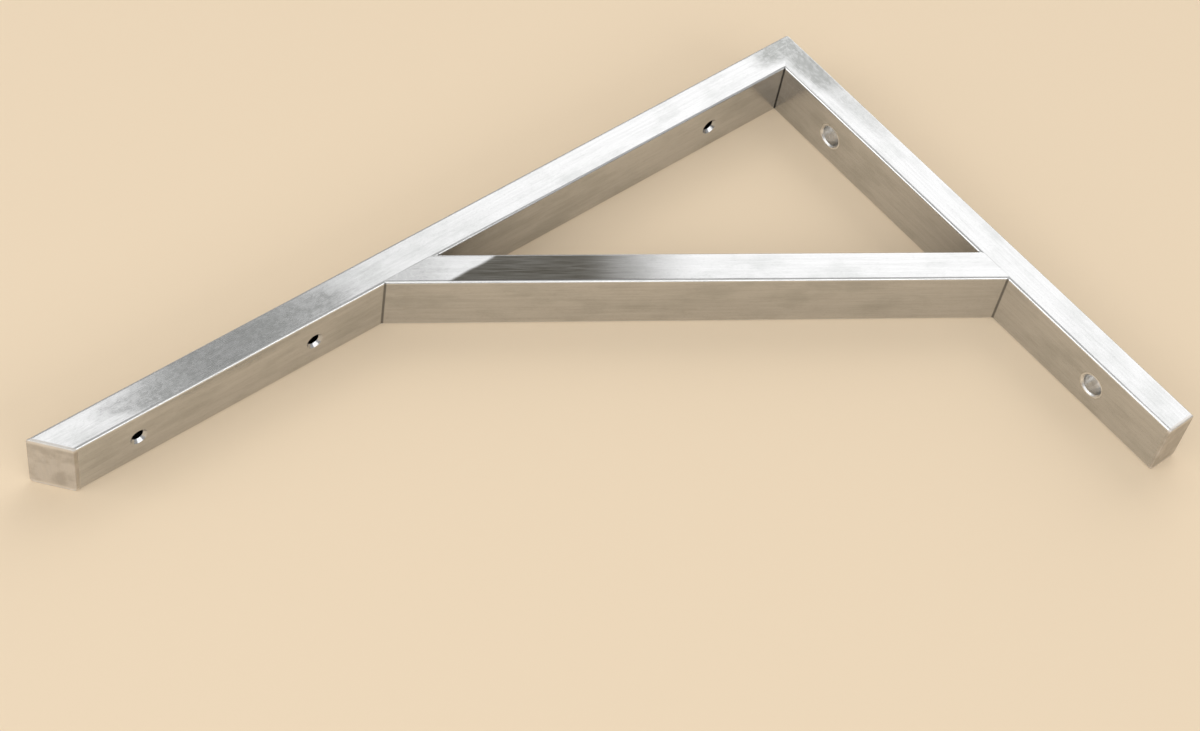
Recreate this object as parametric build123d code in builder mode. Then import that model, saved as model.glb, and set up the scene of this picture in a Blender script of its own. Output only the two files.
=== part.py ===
from build123d import *
from math import cos, radians, sin
import os

# A fixed triangular shelf bracket. Two rectangular stainless tubes are mitred and welded
# into a right angle, a third tube braces them, plates close the two free ends, welded
# bushes take the wall bolts, and countersunk holes take the shelf screws.
# Frame: x = 0 is the wall, +X runs out under the shelf, +Z is up, and y = 0 is the middle
# of the tubes. The origin lies on the wall, halfway between the two bolts.

# Driving sizes, in millimetres and degrees
shelf_length = 450.0           # wall face to the tip of the nose
wall_height = 290.0            # shelf face down to the foot
tube_depth = 17.0              # size of each tube in the plane of the triangle
tube_width = 32.0              # size of each tube across the bracket
wall_thickness = 1.5
edge_radius = 1.5              # outside edges along each tube
hollow_edge_radius = 0.5       # the same edges inside
elbow_radius = 4.0             # where the mitre's outside corner is ground round
nose_angle = 50.0              # between the slanted nose and the shelf arm
brace_reach = 269.0            # wall face to the brace's far face, at the shelf arm
brace_drop = 181.0             # shelf face to the brace's far face, at the wall arm
cap_thickness = 1.5            # plates that close the nose and the foot
cap_edge_radius = 0.6          # where the welded rim of each plate is ground round
upper_bolt_drop = 56.0         # shelf face to the upper bolt
lower_bolt_rise = 46.0         # foot to the lower bolt
bolt_hole_diameter = 11.0      # bore of each bush
bush_wall = 1.5
bush_clearance = 0.05          # weld gap round each bush
bush_mouth_chamfer = 0.8       # round the bore on the nut's side
inner_screw_setback = 65.0     # wall face to the nearest shelf screw
outer_screw_setback = 47.0     # tip of the nose to the furthest shelf screw
outer_screw_pitch = 95.0       # from that screw back to the middle one
screw_hole_diameter = 4.5
countersink_diameter = 9.0
countersink_angle = 90.0

# Places that follow from them
bolt_spacing = wall_height - upper_bolt_drop - lower_bolt_rise
upper_bolt_z = bolt_spacing / 2
lower_bolt_z = -bolt_spacing / 2
shelf_z = upper_bolt_z + upper_bolt_drop
underside_z = shelf_z - tube_depth
foot_z = shelf_z - wall_height
outer_screw_x = shelf_length - outer_screw_setback
screw_reaches = [inner_screw_setback, outer_screw_x - outer_screw_pitch, outer_screw_x]
bush_radius = bolt_hole_diameter / 2 + bush_wall
overrun = 2 * tube_depth       # how far a tube is drawn past its cuts

across = (0, 1, 0)             # the direction of every tube's width
slant = radians(nose_angle)
mitre = Plane(origin=(0, 0, shelf_z), x_dir=across, z_dir=(1, 0, 1))
nose_face = Plane(origin=(shelf_length, 0, shelf_z), x_dir=across, z_dir=(sin(slant), 0, -cos(slant)))
nose_seam = nose_face.offset(-cap_thickness)
foot_face = Plane(origin=(0, 0, foot_z), x_dir=across, z_dir=(0, 0, -1))
foot_seam = foot_face.offset(-cap_thickness)

# Each tube is drawn on a plane square to its run, centred on the plane's origin
shelf_arm_start = Plane(
    origin=(-overrun, 0, shelf_z - tube_depth / 2), x_dir=across, z_dir=(1, 0, 0)
)
wall_arm_start = Plane(
    origin=(tube_depth / 2, 0, shelf_z + overrun), x_dir=across, z_dir=(0, 0, -1)
)
brace_top = Vector(brace_reach, 0, underside_z)
brace_foot = Vector(tube_depth, 0, shelf_z - brace_drop)
brace_run = (brace_foot - brace_top).normalized()
towards_elbow = Vector(brace_run.Z, 0, -brace_run.X)
brace_start = Plane(
    origin=brace_top + towards_elbow * (tube_depth / 2) - brace_run * overrun,
    x_dir=across,
    z_dir=brace_run,
)
shelf_arm_run = shelf_length + 2 * overrun
wall_arm_run = wall_height + 2 * overrun
brace_length = (brace_foot - brace_top).length + 2 * overrun


def tube_outside():
    """Outline of a tube, a rectangle with rounded edges."""
    RectangleRounded(tube_width, tube_depth, edge_radius)


def tube_section():
    """The tube's outline with its hollow taken out."""
    tube_outside()
    RectangleRounded(
        tube_width - 2 * wall_thickness,
        tube_depth - 2 * wall_thickness,
        hollow_edge_radius,
        mode=Mode.SUBTRACT,
    )


def finish(piece, name):
    """Label a piece and write its file."""
    piece.label = name
    export_step(piece, f"parts/{name}.step")


os.makedirs("parts", exist_ok=True)

# The space inside each arm's outside faces. It shapes the caps and the ends of the brace.
with BuildPart() as shelf_arm_space:
    with BuildSketch(shelf_arm_start):
        tube_outside()
    extrude(amount=shelf_arm_run)

with BuildPart() as wall_arm_space:
    with BuildSketch(wall_arm_start):
        tube_outside()
    extrude(amount=wall_arm_run)

# What grinding takes off the welded outside corner of the elbow
with BuildPart() as elbow_waste:
    with BuildSketch(Plane.XZ):
        with Locations((-elbow_radius, shelf_z + elbow_radius)):
            Rectangle(2 * elbow_radius, 2 * elbow_radius, align=(Align.MIN, Align.MAX))
        with Locations((elbow_radius, shelf_z - elbow_radius)):
            Circle(elbow_radius, mode=Mode.SUBTRACT)
    extrude(amount=tube_width, both=True)

# Shelf arm: mitred at the elbow, slanted at the nose. Each screw enters through the
# countersink in its lower wall and leaves through the plain hole in the wall above.
screw_entries = [Plane(origin=(x, 0, underside_z), z_dir=(0, 0, -1)) for x in screw_reaches]
with BuildPart() as shelf_arm:
    with BuildSketch(shelf_arm_start):
        tube_section()
    extrude(amount=shelf_arm_run)
    split(bisect_by=mitre, keep=Keep.TOP)
    split(bisect_by=nose_seam, keep=Keep.BOTTOM)
    add(elbow_waste.part, mode=Mode.SUBTRACT)
    with Locations(*screw_entries):
        CounterSinkHole(
            radius=screw_hole_diameter / 2,
            counter_sink_radius=countersink_diameter / 2,
            counter_sink_angle=countersink_angle,
            depth=tube_depth + wall_thickness,
        )
finish(shelf_arm.part, "shelf_arm")

# Wall arm: mitred at the elbow, cut square at the foot, drilled for the bolt bushes
bolt_entries = [Plane(origin=(tube_depth, 0, z), z_dir=(1, 0, 0)) for z in (upper_bolt_z, lower_bolt_z)]
with BuildPart() as wall_arm:
    with BuildSketch(wall_arm_start):
        tube_section()
    extrude(amount=wall_arm_run)
    split(bisect_by=mitre, keep=Keep.BOTTOM)
    split(bisect_by=foot_seam, keep=Keep.BOTTOM)
    add(elbow_waste.part, mode=Mode.SUBTRACT)
    with Locations(*bolt_entries):
        Hole(radius=bush_radius + bush_clearance)
finish(wall_arm.part, "wall_arm")

# Brace: cut off in the middle of each arm, then coped to the arms' faces, so that its
# sides run out over their rounded edges and lie flush with their sides
with BuildPart() as brace:
    with BuildSketch(brace_start):
        tube_section()
    extrude(amount=brace_length)
    split(bisect_by=Plane.XY.offset(shelf_z - tube_depth / 2), keep=Keep.BOTTOM)
    split(bisect_by=Plane.YZ.offset(tube_depth / 2), keep=Keep.TOP)
    add(shelf_arm_space.part, mode=Mode.SUBTRACT)
    add(wall_arm_space.part, mode=Mode.SUBTRACT)
finish(brace.part, "brace")

# Caps: plates with the tube's own outline, welded on and ground round at the rim
with BuildPart() as nose_cap:
    add(shelf_arm_space.part)
    split(bisect_by=nose_seam, keep=Keep.TOP)
    split(bisect_by=nose_face, keep=Keep.BOTTOM)
    nose_outside = nose_cap.faces().sort_by(Axis(nose_face.origin, nose_face.z_dir))[-1]
    fillet(nose_outside.edges(), cap_edge_radius)
finish(nose_cap.part, "nose_cap")

with BuildPart() as foot_cap:
    add(wall_arm_space.part)
    split(bisect_by=foot_seam, keep=Keep.TOP)
    split(bisect_by=foot_face, keep=Keep.BOTTOM)
    foot_outside = foot_cap.faces().sort_by(Axis.Z)[0]
    fillet(foot_outside.edges(), cap_edge_radius)
finish(foot_cap.part, "foot_cap")

# Bushes: spacer sleeves as long as the tube is deep, so that a bolt can't crush it
for bush_name, bolt_z in (("upper_bolt_bush", upper_bolt_z), ("lower_bolt_bush", lower_bolt_z)):
    with BuildPart() as bush:
        with BuildSketch(Plane(origin=(0, 0, bolt_z), x_dir=across, z_dir=(1, 0, 0))):
            Circle(bush_radius)
            Circle(bolt_hole_diameter / 2, mode=Mode.SUBTRACT)
        extrude(amount=tube_depth)
        nut_side = bush.edges().filter_by(GeomType.CIRCLE).group_by(Axis.X)[-1]
        chamfer(nut_side.sort_by(SortBy.RADIUS)[0], bush_mouth_chamfer)
    finish(bush.part, bush_name)
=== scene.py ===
import math

import bpy
from mathutils import Euler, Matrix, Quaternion, Vector


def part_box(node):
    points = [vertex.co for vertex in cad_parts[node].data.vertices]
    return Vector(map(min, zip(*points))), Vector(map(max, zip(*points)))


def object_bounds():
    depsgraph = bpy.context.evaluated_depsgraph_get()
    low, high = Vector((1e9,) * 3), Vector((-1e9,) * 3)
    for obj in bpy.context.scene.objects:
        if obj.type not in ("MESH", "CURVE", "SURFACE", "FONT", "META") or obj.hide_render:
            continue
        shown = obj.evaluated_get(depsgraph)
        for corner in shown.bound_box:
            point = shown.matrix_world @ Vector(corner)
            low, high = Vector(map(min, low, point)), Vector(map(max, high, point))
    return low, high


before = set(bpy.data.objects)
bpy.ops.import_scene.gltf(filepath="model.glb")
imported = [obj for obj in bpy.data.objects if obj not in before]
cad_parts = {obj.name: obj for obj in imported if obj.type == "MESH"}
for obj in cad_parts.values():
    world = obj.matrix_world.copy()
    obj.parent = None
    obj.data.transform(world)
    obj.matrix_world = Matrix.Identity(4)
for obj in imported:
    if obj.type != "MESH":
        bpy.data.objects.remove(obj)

cad_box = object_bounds()
middle = (cad_box[0] + cad_box[1]) / 2
MM = 0.001

# Places on the bracket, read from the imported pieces
shelf_arm_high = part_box("shelf_arm")[1]
wall_arm_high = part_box("wall_arm")[1]
brace_low, brace_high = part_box("brace")
tube_depth = wall_arm_high.x
half_width = wall_arm_high.y
shelf_z = shelf_arm_high.z
underside_z = shelf_z - tube_depth
edge_radius = brace_high.z - underside_z     # the brace is coped over the arms' rounded edges
brace_top = Vector((brace_high.x, 0, underside_z))
brace_foot = Vector((tube_depth, 0, brace_low.z))
side = Vector((0, half_width, 0))            # from the middle plane to the side face at +Y
elbow = Vector((0, 0, shelf_z)) + side

# Every tube has its own straight frame: local X along it, Y across it, Z through its depth
brace_rise = brace_top - brace_foot
brace_angle = math.atan2(brace_rise.z, brace_rise.x)
brace_up = Vector((-math.sin(brace_angle), 0, math.cos(brace_angle)))
TUBES = {
    "shelf_arm": (Vector((0, 0, shelf_z - tube_depth / 2)), 0.0),
    "wall_arm": (Vector((tube_depth / 2, 0, shelf_z)), math.pi / 2),
    "brace": (brace_top + brace_up * (tube_depth / 2), -brace_angle),
}

# The five inner corners between the tubes, where the weld leaves a thin crease, darkened right across
# with painted shade
elbow_corner = Vector((tube_depth, 0, underside_z))
top_corner = brace_top - Vector((tube_depth / math.sin(brace_angle), 0, 0))
foot_corner = brace_foot + Vector((0, 0, tube_depth / math.cos(brace_angle)))
SHADED_CREASES = (elbow_corner, top_corner, foot_corner, brace_top, brace_foot)
CREASE_SHADE_SIZE = (0.9 * MM, 1, 0.7 * MM)
CREASE_SHADE_STRENGTH = 0.65

# Colours
STEEL = (0.60, 0.60, 0.60, 1)
STEEL_CLOUD = (0.44, 0.45, 0.44, 1)
# Painted highlight along the tubes' rounded edges
STEEL_PAINTED_HIGHLIGHT = (0.78, 0.78, 0.77, 1)
# Matt steel of the ground patches and the weld seam, also used as painted shade in the spots
STEEL_DULL_AND_SHADE = (0.30, 0.305, 0.295, 1)
# Painted reflection of something dark, on the brace's side face
PAINTED_DARK_REFLECTION = (0.066, 0.061, 0.050, 1)
# Painted shade in the inner corner creases
PAINTED_CREASE_SHADE = (0.02, 0.02, 0.02, 1)
CAP_STEEL = (0.55, 0.52, 0.48, 1)
CAP_CLOUD = (0.44, 0.41, 0.37, 1)
# Painted highlight along the caps' side edges
CAP_PAINTED_HIGHLIGHT = (0.72, 0.69, 0.65, 1)
# Both bush colours are painted paler than the tubes' steel: painted light on the bore walls
BUSH_STEEL_PAINTED_LIGHT = (0.82, 0.81, 0.79, 1)
BUSH_CLOUD = (0.62, 0.61, 0.59, 1)
WHITE = (1, 1, 1, 1)
BLACK = (0, 0, 0, 1)

# Grain of the finish: the size of one cell of each pattern, on the local X, Y and Z of its piece
BRUSHING = (14 * MM, 0.35 * MM, 0.35 * MM)
BROAD_BRUSHING = (60 * MM, 1.6 * MM, 1.6 * MM)
CLOUDS = (26 * MM, 13 * MM, 13 * MM)
SPECKLE = (1.5 * MM, 0.8 * MM, 0.8 * MM)
MOTTLE = (2.6 * MM, 1.7 * MM, 1.7 * MM)
BRUSHING_DEPTH = 0.05 * MM
GRINDING = (0.4 * MM, 6 * MM, 0.4 * MM)
GRINDING_DEPTH = 0.05 * MM
CAP_CLOUD_SIZE = 9 * MM
TURNED_RINGS = (0.25 * MM, 30 * MM, 30 * MM)
TURNING_DEPTH = 0.04 * MM
BUSH_CLOUD_SIZE = 4 * MM

# How far reflections stretch, and the quarter turn that makes them stretch across the brushing
ANISOTROPY = 0.8
ACROSS_THE_RUN = 0.25

# The painted dark reflection starts below a strip ground along the shelf arm, and fades between two
# distances down the brace
GROUND_STRIP = 15.5 * MM
DARK_REFLECTION_FADES_FROM = 90 * MM
DARK_REFLECTION_ENDS = 155 * MM
RAGGED_EDGE = 3 * MM


class Nodes:
    """Builds one material, with a short call for each kind of node."""

    def __init__(self, name):
        self.material = bpy.data.materials.new(name)
        self.material.use_nodes = True
        self.tree = self.material.node_tree
        self.tree.nodes.clear()
        self.output = self.tree.nodes.new("ShaderNodeOutputMaterial")
        self.place = self.tree.nodes.new("ShaderNodeTexCoord").outputs["Object"]

    def feed(self, socket, value):
        if isinstance(value, bpy.types.NodeSocket):
            self.tree.links.new(value, socket)
        else:
            socket.default_value = value

    def math(self, operation, *values, clamp=False):
        node = self.tree.nodes.new("ShaderNodeMath")
        node.operation = operation
        node.use_clamp = clamp
        for socket, value in zip(node.inputs, values):
            self.feed(socket, value)
        return node.outputs[0]

    def in_tube(self, origin, turn, cell=(1, 1, 1)):
        """The place in a frame at origin, turned about Y, counted in cells of the given size."""
        node = self.tree.nodes.new("ShaderNodeMapping")
        node.vector_type = "TEXTURE"
        node.inputs["Location"].default_value = origin
        node.inputs["Rotation"].default_value = Euler((0, turn, 0))
        node.inputs["Scale"].default_value = cell
        self.feed(node.inputs["Vector"], self.place)
        return node.outputs[0]

    def split(self, vector):
        node = self.tree.nodes.new("ShaderNodeSeparateXYZ")
        self.feed(node.inputs[0], vector)
        return node.outputs

    def length(self, vector):
        node = self.tree.nodes.new("ShaderNodeVectorMath")
        node.operation = "LENGTH"
        self.feed(node.inputs[0], vector)
        return node.outputs["Value"]

    def noise(self, vector, scale=1.0, detail=2.0, roughness=0.5):
        node = self.tree.nodes.new("ShaderNodeTexNoise")
        self.feed(node.inputs["Vector"], vector)
        node.inputs["Scale"].default_value = scale
        node.inputs["Detail"].default_value = detail
        node.inputs["Roughness"].default_value = roughness
        return node.outputs["Fac"]

    def ramp(self, value, low, high, to_low=0.0, to_high=1.0):
        """Smooth step from to_low, where value is low, to to_high, where it is high."""
        node = self.tree.nodes.new("ShaderNodeMapRange")
        node.interpolation_type = "SMOOTHSTEP"
        for socket, number in zip(node.inputs[1:5], (low, high, to_low, to_high)):
            socket.default_value = number
        self.feed(node.inputs[0], value)
        return node.outputs[0]

    def spot(self, origin, turn, size, wander, strength=1.0):
        """An oval spot of that half size: strength in its middle, 0 outside its ragged rim."""
        away = self.math("ADD", self.length(self.in_tube(origin, turn, size)), wander)
        return self.ramp(away, 0.45, 1.0, strength, 0.0)

    def mix(self, factor, first, second, blend="MIX"):
        node = self.tree.nodes.new("ShaderNodeMix")
        node.data_type = "RGBA"
        node.blend_type = blend
        self.feed(node.inputs["Factor"], factor)
        self.feed(node.inputs[6], first)
        self.feed(node.inputs[7], second)
        return node.outputs[2]

    def bump(self, height, strength, distance):
        node = self.tree.nodes.new("ShaderNodeBump")
        node.inputs["Strength"].default_value = strength
        node.inputs["Distance"].default_value = distance
        self.feed(node.inputs["Height"], height)
        return node.outputs[0]

    def steel(self, color, roughness, normal, anisotropic=0.0, tangent=None):
        shader = self.tree.nodes.new("ShaderNodeBsdfPrincipled")
        shader.inputs["Metallic"].default_value = 1.0
        shader.inputs["Anisotropic"].default_value = anisotropic
        shader.inputs["Anisotropic Rotation"].default_value = ACROSS_THE_RUN
        self.feed(shader.inputs["Base Color"], color)
        self.feed(shader.inputs["Roughness"], roughness)
        self.feed(shader.inputs["Normal"], normal)
        if tangent is not None:
            node = self.tree.nodes.new("ShaderNodeCombineXYZ")
            for socket, number in zip(node.inputs, tangent):
                socket.default_value = number
            self.feed(shader.inputs["Tangent"], node.outputs[0])
        self.feed(self.output.inputs["Surface"], shader.outputs[0])
        return self.material


def painted_dark_reflection(n, along, across, cloud, fine):
    """Painted reflection of something dark on the brace's side face, from the strip ground along the
    shelf arm, fading down it.
    """
    height = n.split(n.place)["Z"]
    ragged = n.math("MULTIPLY", n.math("SUBTRACT", cloud, 0.5), RAGGED_EDGE)
    height = n.math("ADD", height, ragged)
    strip_edge = underside_z - GROUND_STRIP
    below_strip = n.ramp(height, strip_edge - 1 * MM, strip_edge + 1 * MM, 1.0, 0.0)
    fading = n.ramp(n.math("ADD", along, ragged), -DARK_REFLECTION_ENDS, -DARK_REFLECTION_FADES_FROM)
    on_side = n.ramp(across, half_width - edge_radius, half_width - 0.2 * MM)
    dark_reflection = n.math("MULTIPLY", n.math("MULTIPLY", below_strip, fading), on_side)
    return n.math("MULTIPLY", dark_reflection, n.ramp(fine, 0.35, 0.65, 0.92, 1.0))


def brace_seam(n, cloud):
    """Broken line where the brace's ends are welded to the arms."""
    place = n.split(n.place)
    shelf_seam = underside_z + edge_radius
    wall_seam = tube_depth - edge_radius
    at_shelf_arm = n.ramp(place["Z"], shelf_seam - 0.6 * MM, shelf_seam - 0.1 * MM)
    at_wall_arm = n.ramp(place["X"], wall_seam + 0.1 * MM, wall_seam + 0.6 * MM, 1.0, 0.0)
    broken = n.ramp(cloud, 0.40, 0.60, 0.2, 0.8)
    return n.math("MULTIPLY", n.math("MAXIMUM", at_shelf_arm, at_wall_arm), broken)


def painted_edge_highlight(n, across, depth):
    """The tube's four rounded edges, painted brighter as a highlight line along each."""
    near_side = n.ramp(n.math("ABSOLUTE", across), half_width - edge_radius, half_width)
    near_face = n.ramp(n.math("ABSOLUTE", depth), tube_depth / 2 - edge_radius, tube_depth / 2)
    edge_highlight = n.math("MULTIPLY", n.math("MULTIPLY", near_side, near_face), 3.0, clamp=True)
    return n.math("MULTIPLY", edge_highlight, 0.8)


def brushed_tube(name, dull_and_shaded_spots):
    """Satin tube: brushed along its run, cloudy, with painted highlights on its edges, painted shade in
    its inner corners and spots that are partly ground matt and partly painted shade.

    Each spot of matt steel and painted shade is its middle, its half sizes along, across and through the
    tube, and its strength.
    """
    origin, turn = TUBES[name]
    n = Nodes(name + "_steel")
    along, across, depth = n.split(n.in_tube(origin, turn))
    fine = n.noise(n.in_tube(origin, turn, BRUSHING), detail=3)
    coarse = n.noise(n.in_tube(origin, turn, BROAD_BRUSHING), detail=2)
    cloud = n.noise(n.in_tube(origin, turn, CLOUDS), detail=4, roughness=0.6)
    speckle = n.noise(n.in_tube(origin, turn, SPECKLE), detail=2)
    mottle = n.noise(n.in_tube(origin, turn, MOTTLE), detail=3, roughness=0.7)
    color = n.mix(n.ramp(cloud, 0.42, 0.72, 0.0, 0.5), STEEL, STEEL_CLOUD)
    streak = n.math("ADD", n.ramp(fine, 0.3, 0.7, 0.90, 1.0), n.ramp(coarse, 0.35, 0.65, -0.03, 0.03))
    streak = n.math("SUBTRACT", streak, n.ramp(speckle, 0.5, 0.8, 0.0, 0.08))
    color = n.mix(1.0, color, n.mix(streak, BLACK, WHITE), "MULTIPLY")
    roughness = n.ramp(fine, 0.3, 0.7, 0.16, 0.24)
    wander = n.math("MULTIPLY", n.math("SUBTRACT", cloud, 0.5), 1.2)
    mottling = n.ramp(mottle, 0.38, 0.62, 0.6, 1.0)
    # Spots partly ground matt and partly painted shade, standing in for darker reflections
    for place, size, strength in dull_and_shaded_spots:
        dull_and_shade = n.math("MULTIPLY", n.spot(place, turn, size, wander, strength), mottling)
        color = n.mix(dull_and_shade, color, STEEL_DULL_AND_SHADE)
        roughness = n.math("ADD", roughness, n.math("MULTIPLY", dull_and_shade, 0.10))
    if name == "brace":
        # Painted dark reflection on the brace's side face
        color = n.mix(painted_dark_reflection(n, along, across, cloud, fine), color, PAINTED_DARK_REFLECTION)
        color = n.mix(brace_seam(n, cloud), color, STEEL_DULL_AND_SHADE)
    # Painted highlight along the four rounded edges
    color = n.mix(painted_edge_highlight(n, across, depth), color, STEEL_PAINTED_HIGHLIGHT)
    # Painted shade along the inner corner creases
    for corner in SHADED_CREASES:
        crease_shade = n.spot(corner, turn, CREASE_SHADE_SIZE, 0.0, CREASE_SHADE_STRENGTH)
        color = n.mix(crease_shade, color, PAINTED_CREASE_SHADE)
    relief = n.math("ADD", fine, n.math("MULTIPLY", speckle, 0.35))
    normal = n.bump(relief, 0.20, BRUSHING_DEPTH)
    run = Euler((0, turn, 0)).to_matrix() @ Vector((1, 0, 0))
    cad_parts[name].data.materials[0] = n.steel(color, roughness, normal, ANISOTROPY, run)


def ground_cap(name, tilt):
    """Plate ground by hand: matt and cloudy, with a painted highlight along its two side edges. tilt is
    its turn about Y.
    """
    n = Nodes(name + "_steel")
    cloud = n.noise(n.place, 1 / CAP_CLOUD_SIZE, detail=4, roughness=0.6)
    scratch = n.noise(n.in_tube((0, 0, 0), tilt, GRINDING), detail=2)
    across = n.math("ABSOLUTE", n.split(n.place)["Y"])
    # Painted highlight along the two side edges
    rim = n.ramp(across, half_width - 3 * MM, half_width - 1 * MM)
    color = n.mix(n.ramp(cloud, 0.35, 0.65), CAP_STEEL, CAP_CLOUD)
    color = n.mix(n.math("MULTIPLY", rim, 0.7), color, CAP_PAINTED_HIGHLIGHT)
    roughness = n.ramp(scratch, 0.3, 0.7, 0.42, 0.54)
    normal = n.bump(scratch, 0.25, GRINDING_DEPTH)
    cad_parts[name].data.materials[0] = n.steel(color, roughness, normal)


def turned_bush(name):
    """Turned sleeve: fine rings round its bore, in steel painted paler than the tubes' as painted light
    on the bore walls.
    """
    n = Nodes(name + "_steel")
    rings = n.noise(n.in_tube((0, 0, 0), 0, TURNED_RINGS), detail=2)
    cloud = n.noise(n.place, 1 / BUSH_CLOUD_SIZE, detail=3)
    color = n.mix(n.ramp(cloud, 0.4, 0.65), BUSH_STEEL_PAINTED_LIGHT, BUSH_CLOUD)
    roughness = n.ramp(rings, 0.3, 0.7, 0.26, 0.38)
    normal = n.bump(rings, 0.3, TURNING_DEPTH)
    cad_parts[name].data.materials[0] = n.steel(color, roughness, normal)


# The spots are partly mottled ground patches and partly painted shade for darker reflections
brushed_tube("shelf_arm", [
    (elbow + Vector((10 * MM, 0, -5 * MM)), (22 * MM, 10 * MM, 11 * MM), 0.95),
    (elbow + Vector((345 * MM, 0, -8 * MM)), (74 * MM, 10 * MM, 16 * MM), 0.78),
])
brushed_tube("wall_arm", [
    (elbow + Vector((5 * MM, 0, -16 * MM)), (34 * MM, 10 * MM, 13 * MM), 0.95),
    (elbow + Vector((4 * MM, 0, -45 * MM)), (50 * MM, 10 * MM, 9 * MM), 0.45),
])
brushed_tube("brace", [
    (brace_top + side + brace_up * (tube_depth / 2), (34 * MM, 10 * MM, 20 * MM), 0.35),
])
ground_cap("nose_cap", tilt=math.radians(40))
ground_cap("foot_cap", tilt=0)
turned_bush("upper_bolt_bush")
turned_bush("lower_bolt_bush")

# The bracket lies on its side: the floor touches the face at -Y and is seen from +Y only
FLOOR_COLOR = (0.80, 0.65, 0.47, 1)
FLOOR_SIZE = 12
FLOOR_TURN = (-math.pi / 2, 0, 0)
FLOOR_GAP = 0.2 * MM
TOUCHING = 5 * FLOOR_GAP       # a reflection shorter than this comes from the face on the floor


def make_floor():
    """Matt floor. The face that lies on it doesn't reflect it, so that face looks right from below.

    It isn't seen from its back, and it casts no shadow.
    """
    n = Nodes("floor_matt")
    diffuse = n.tree.nodes.new("ShaderNodeBsdfDiffuse")
    diffuse.inputs["Color"].default_value = FLOOR_COLOR
    clear = n.tree.nodes.new("ShaderNodeBsdfTransparent")
    behind = n.tree.nodes.new("ShaderNodeNewGeometry").outputs["Backfacing"]
    path = n.tree.nodes.new("ShaderNodeLightPath").outputs
    short = n.math("LESS_THAN", path["Ray Length"], TOUCHING)
    touching = n.math("MULTIPLY", path["Is Glossy Ray"], short)
    unseen = n.math("MAXIMUM", n.math("MAXIMUM", behind, path["Is Shadow Ray"]), touching)
    mix = n.tree.nodes.new("ShaderNodeMixShader")
    n.feed(mix.inputs["Fac"], unseen)
    n.feed(mix.inputs[1], diffuse.outputs[0])
    n.feed(mix.inputs[2], clear.outputs[0])
    n.feed(n.output.inputs["Surface"], mix.outputs[0])
    floor_y = -half_width - FLOOR_GAP
    bpy.ops.mesh.primitive_plane_add(size=FLOOR_SIZE, location=(0, floor_y, 0), rotation=FLOOR_TURN)
    floor = bpy.context.object
    floor.name = "floor"
    floor.data.materials.append(n.material)


def make_lamp(name, away, size, brightness):
    """Soft lamp that faces the bracket's middle from away. A brightness of 1 looks plain white."""
    data = bpy.data.lights.new(name, "AREA")
    data.shape = "RECTANGLE"
    data.size, data.size_y = size
    data.energy = brightness * math.pi * size[0] * size[1]
    lamp = bpy.data.objects.new(name, data)
    bpy.context.scene.collection.objects.link(lamp)
    lamp.location = middle + Vector(away)
    lamp.rotation_euler = (-Vector(away)).to_track_quat("-Z", "Y").to_euler()


def make_world(strength):
    world = bpy.data.worlds.new("studio")
    world.use_nodes = True
    background = world.node_tree.nodes["Background"]
    background.inputs["Color"].default_value = WHITE
    background.inputs["Strength"].default_value = strength
    bpy.context.scene.world = world


make_floor()
make_lamp("key_lamp", away=(-2.4, 1.9, 1.1), size=(3.0, 2.6), brightness=1.32)
make_lamp("nose_lamp", away=(-0.34, 2.2, 1.5), size=(0.65, 0.8), brightness=1.5)
make_lamp("overhead_lamp", away=(1.6, 2.5, -0.7), size=(3.0, 3.0), brightness=1.15)
make_lamp("lower_edge_lamp", away=(-0.1, 1.3, -2.2), size=(2.4, 1.0), brightness=1.8)
make_lamp("inner_edge_lamp", away=(1.9, 1.1, 1.0), size=(1.2, 1.4), brightness=1.8)
make_lamp("front_lamp", away=(2.2, -1.6, -1.4), size=(2.0, 2.0), brightness=1.3)
make_lamp("back_lamp", away=(-0.8, -2.4, 1.4), size=(2.6, 2.6), brightness=1.3)
make_world(strength=0.5)

# The viewing angle: a long lens from below the nose, turned so that the brace lies level
CAMERA_PLACE = Vector((0.7291, 0.9184, -0.4103))
CAMERA_AIM = Vector((0.2154, 0.0157, 0.0401))
CAMERA_ROLL = math.radians(-43.15)
LENS_MM = 74.16
SENSOR_MM = 36


def make_camera():
    data = bpy.data.cameras.new("camera")
    data.sensor_width = SENSOR_MM
    data.lens = LENS_MM
    camera = bpy.data.objects.new("camera", data)
    bpy.context.scene.collection.objects.link(camera)
    camera.location = CAMERA_PLACE
    level = (CAMERA_AIM - CAMERA_PLACE).to_track_quat("-Z", "Y")
    camera.rotation_euler = (level @ Quaternion((0, 0, 1), CAMERA_ROLL)).to_euler()
    bpy.context.scene.camera = camera


make_camera()
bpy.context.scene.view_settings.view_transform = "Standard"
